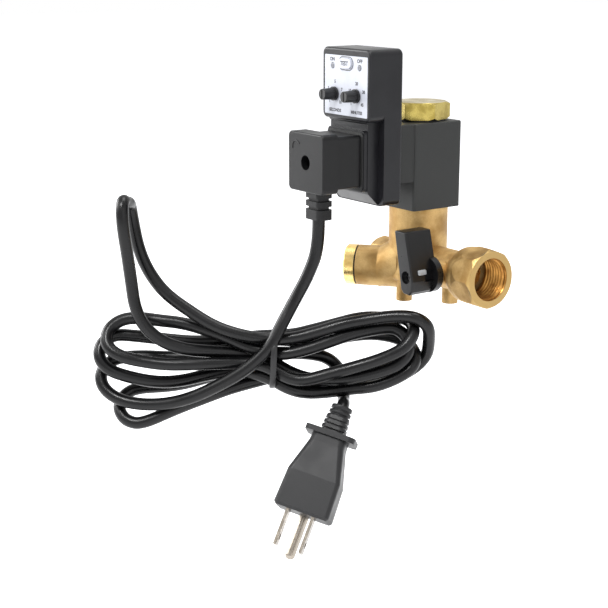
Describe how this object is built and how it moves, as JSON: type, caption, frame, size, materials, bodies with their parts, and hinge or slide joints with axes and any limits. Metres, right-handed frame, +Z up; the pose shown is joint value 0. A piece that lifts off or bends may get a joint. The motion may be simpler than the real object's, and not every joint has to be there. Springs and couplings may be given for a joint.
{
  "type": "automatic drain valve",
  "caption": "Timer-controlled solenoid drain valve with brass Y body, ball shut-off lever, strainer, plug-on timer and mains cord tied in a hank.",
  "frame": {"origin": "centre of the inlet port's face", "axes": "+X out of the inlet along the run, +Z up through the solenoid, -Y towards the timer and the lever"},
  "size_m": [0.1292, 0.1745, 0.2365],
  "materials": {
    "brass_cast": "sand-cast, bead-blasted",
    "brass_turned": "turned, bright",
    "brass_polished": "polished, olive tone",
    "steel": "stainless steel",
    "chrome_brass": "chromed ball",
    "ptfe": "white PTFE",
    "seal_rubber": "black nitrile rubber",
    "lever_plastic": "black glass-filled nylon",
    "coil_resin": "moulded black resin",
    "copper": "enamelled copper winding",
    "case_plastic": "black ABS, fine texture",
    "board_green": "printed circuit board",
    "label_white": "white printed plate",
    "lamp_lens": "grey lamp lens",
    "knob_plastic": "black knob",
    "button_white": "white button",
    "connector_pvc": "moulded black PVC",
    "cord_pvc": "black PVC cord sheath",
    "nickel": "nickel-plated brass",
    "zinc": "zinc-plated steel",
    "tie_plastic": "black twist tie"
  },
  "bodies": {
    "valve": {"valve_body": "brass_cast", "ball_seats": "ptfe", "ball_retainer": "brass_turned", "strainer_cap": "brass_turned", "cap_seal": "seal_rubber", "strainer_screen": "steel", "tube_gasket": "seal_rubber", "core_tube": "steel", "bonnet_nut": "brass_turned", "fixed_core": "steel", "plunger_spring": "steel", "coil": "coil_resin", "coil_winding": "copper", "nut_washer": "seal_rubber", "coil_nut": "brass_polished", "coil_pins": "nickel", "coil_gasket": "seal_rubber", "timer_back": "case_plastic", "timer_cover": "case_plastic", "circuit_board": "board_green", "timer_pins": "nickel", "potentiometers": "knob_plastic", "indicator_lamps": "lamp_lens", "test_switch": "knob_plastic", "dial_plate": "label_white", "connector_gasket": "seal_rubber", "connector": "connector_pvc", "long_screw": "zinc", "connector_relief": "connector_pvc", "cord_lead": "cord_pvc", "cord_hank": "cord_pvc", "hank_tie": "tie_plastic", "cord_tail": "cord_pvc", "mains_relief": "connector_pvc", "mains_body": "connector_pvc", "mains_blades": "nickel", "ground_pin": "nickel"},
    "lever": {"lever_handle": "lever_plastic", "lever_stem": "brass_turned", "stem_seal": "seal_rubber", "ball": "chrome_brass", "lever_screw": "zinc"},
    "plunger": {"plunger": "steel", "plunger_seal": "seal_rubber"},
    "test_button": {"test_button": "button_white"},
    "off_time_knob": {"off_time_knob": "knob_plastic"},
    "on_time_knob": {"on_time_knob": "knob_plastic"}
  },
  "joints": [
    {"name": "lever_turn", "type": "hinge", "parent": "valve", "child": "lever", "pos_m": [-0.027, 0, 0], "axis": [0, 1, 0], "range_deg": [-77, 13]},
    {"name": "plunger_lift", "type": "slide", "parent": "valve", "child": "plunger", "axis": [0, 0, 1], "range_m": [0, 0.0024], "stiffness_N_per_m": 300, "springref_m": -0.004, "deforming": ["plunger_spring"]},
    {"name": "test_push", "type": "slide", "parent": "valve", "child": "test_button", "axis": [0, 1, 0], "range_m": [0, 0.0008], "stiffness_N_per_m": 300, "springref_m": -0.0006},
    {"name": "off_time_set", "type": "hinge", "parent": "valve", "child": "off_time_knob", "pos_m": [-0.0624, -0.046, 0.0857], "axis": [0, 1, 0], "range_deg": [-135, 135]},
    {"name": "on_time_set", "type": "hinge", "parent": "valve", "child": "on_time_knob", "pos_m": [-0.0456, -0.046, 0.0857], "axis": [0, 1, 0], "range_deg": [-135, 135]}
  ]
}
